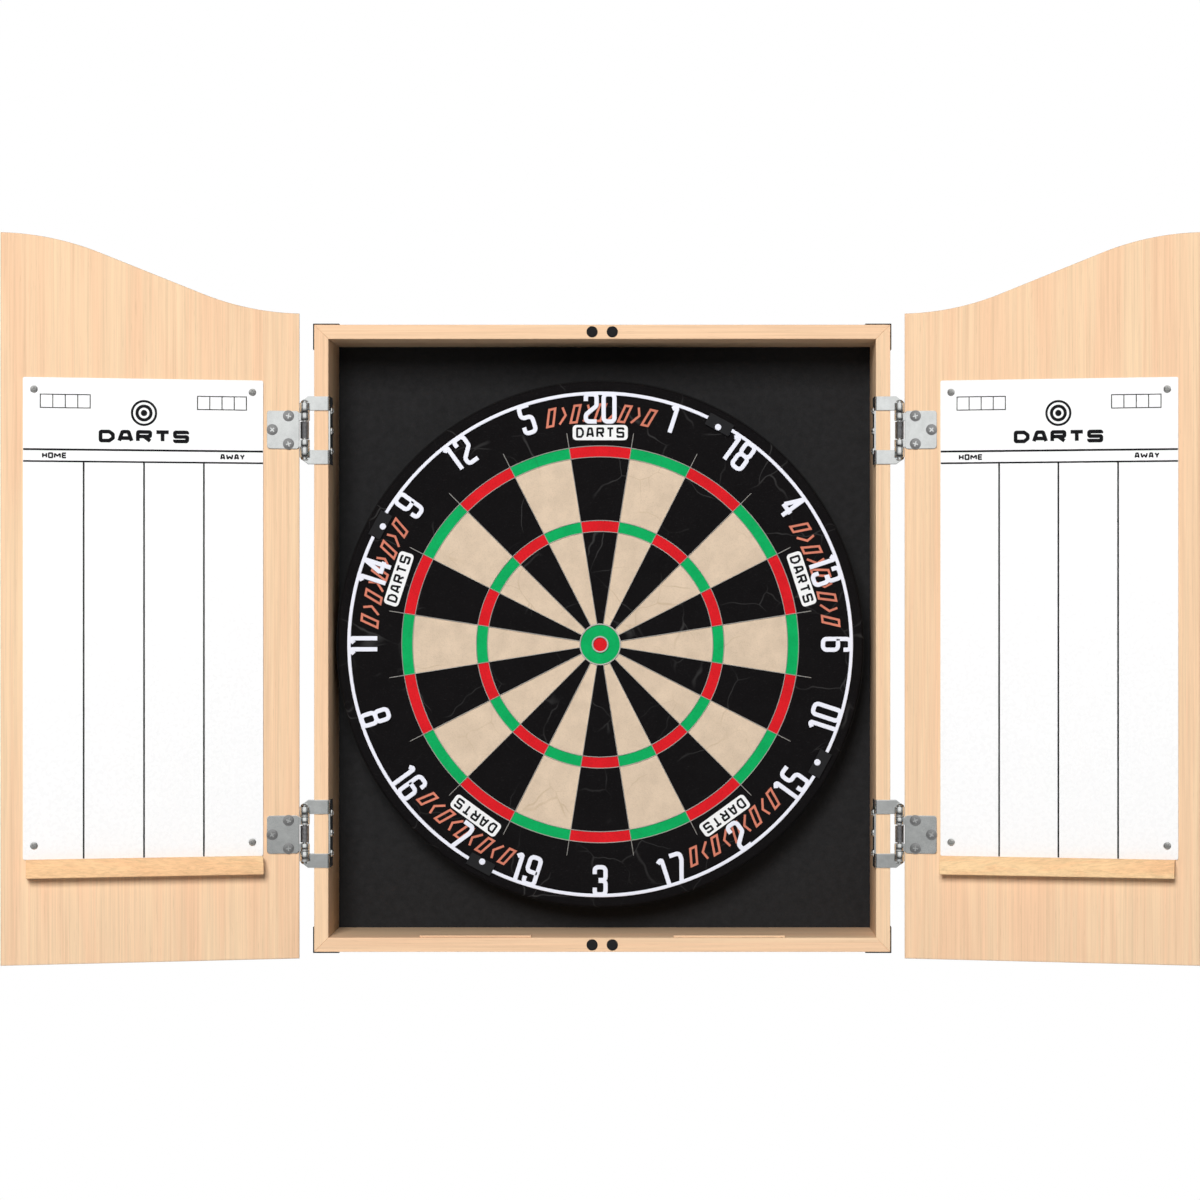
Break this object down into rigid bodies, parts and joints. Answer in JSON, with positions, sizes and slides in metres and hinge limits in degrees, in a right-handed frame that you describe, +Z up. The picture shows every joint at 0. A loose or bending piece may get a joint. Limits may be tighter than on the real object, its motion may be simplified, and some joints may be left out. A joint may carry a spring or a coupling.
{
  "type": "dartboard cabinet",
  "caption": "Wooden wall cabinet with two arched doors that carry scoreboards, holding a bristle dartboard that turns on its centre screw.",
  "frame": {"origin": "centre of the cabinet's rear face, on the wall", "axes": "+X right seen from the front, +Y into the wall, +Z up"},
  "size_m": [0.9924, 0.1513, 0.604],
  "materials": {
    "beech": "clear satin lacquer",
    "pine": "planed, satin",
    "whiteboard": "dry-wipe, smooth",
    "back_felt": "fine grain, matte",
    "dark_steel": "black, satin",
    "rubber": "matte",
    "bright_nickel": "bright nickel plate",
    "spring_steel": "dark, oiled",
    "zinc": "zinc plate",
    "sisal": "end fibres, dyed in segments",
    "fibreboard": "raw",
    "black_band": "black, semi-matte",
    "wire": "bright drawn",
    "white_wire": "white coat",
    "clip_plastic": "moulded"
  },
  "bodies": {
    "cabinet": {"frame_top_rail": "beech", "frame_bottom_rail": "beech", "frame_left_stile": "beech", "frame_right_stile": "beech", "back_panel": "back_felt", "corner_nails": "dark_steel", "stop_strip_left": "beech", "stop_strip_right": "beech", "hinge_frame_screws": "bright_nickel", "back_panel_screws": "zinc", "board_hanger": "zinc", "hanger_screws": "zinc", "corner_plate_top_left": "dark_steel", "door_bumper_top_left": "rubber", "corner_plate_top_right": "dark_steel", "door_bumper_top_right": "rubber", "corner_plate_bottom_left": "dark_steel", "door_bumper_bottom_left": "rubber", "corner_plate_bottom_right": "dark_steel", "door_bumper_bottom_right": "rubber", "hinge_pin_left_upper": "bright_nickel", "hinge_spring_left_upper": "spring_steel", "hinge_frame_leaf_left_upper": "bright_nickel", "hinge_pin_left_lower": "bright_nickel", "hinge_spring_left_lower": "spring_steel", "hinge_frame_leaf_left_lower": "bright_nickel", "hinge_pin_right_upper": "bright_nickel", "hinge_spring_right_upper": "spring_steel", "hinge_frame_leaf_right_upper": "bright_nickel", "hinge_pin_right_lower": "bright_nickel", "hinge_spring_right_lower": "spring_steel", "hinge_frame_leaf_right_lower": "bright_nickel"},
    "dartboard": {"sisal_disc": "sisal", "backing_board": "fibreboard", "rim_band": "black_band", "wire_spider": "wire", "bull_ring": "wire", "inner_bull_ring": "wire", "number_ring": "white_wire", "number_ring_clips": "clip_plastic", "clip_pins": "white_wire", "centre_screw": "zinc", "rear_pads": "rubber"},
    "left_door": {"left_door_panel": "beech", "left_scoreboard": "whiteboard", "left_scoreboard_screws": "zinc", "left_pen_ledge": "pine", "left_hinge_door_screws": "bright_nickel", "hinge_door_leaf_left_upper": "bright_nickel", "hinge_door_leaf_left_lower": "bright_nickel"},
    "right_door": {"right_door_panel": "beech", "right_scoreboard": "whiteboard", "right_scoreboard_screws": "zinc", "right_pen_ledge": "pine", "right_hinge_door_screws": "bright_nickel", "hinge_door_leaf_right_upper": "bright_nickel", "hinge_door_leaf_right_lower": "bright_nickel"}
  },
  "joints": [
    {"name": "left_door_hinge", "type": "hinge", "parent": "cabinet", "child": "left_door", "pos_m": [-0.25, -0.088, 0], "axis": [0, 0, -1], "range_deg": [-168, 12]},
    {"name": "right_door_hinge", "type": "hinge", "parent": "cabinet", "child": "right_door", "pos_m": [0.25, -0.088, 0], "axis": [0, 0, 1], "range_deg": [-168, 12]},
    {"name": "dartboard_turn", "type": "hinge", "parent": "cabinet", "child": "dartboard", "pos_m": [-0.0025, -0.03, -0.0055], "axis": [0, 1, 0], "continuous": true}
  ]
}
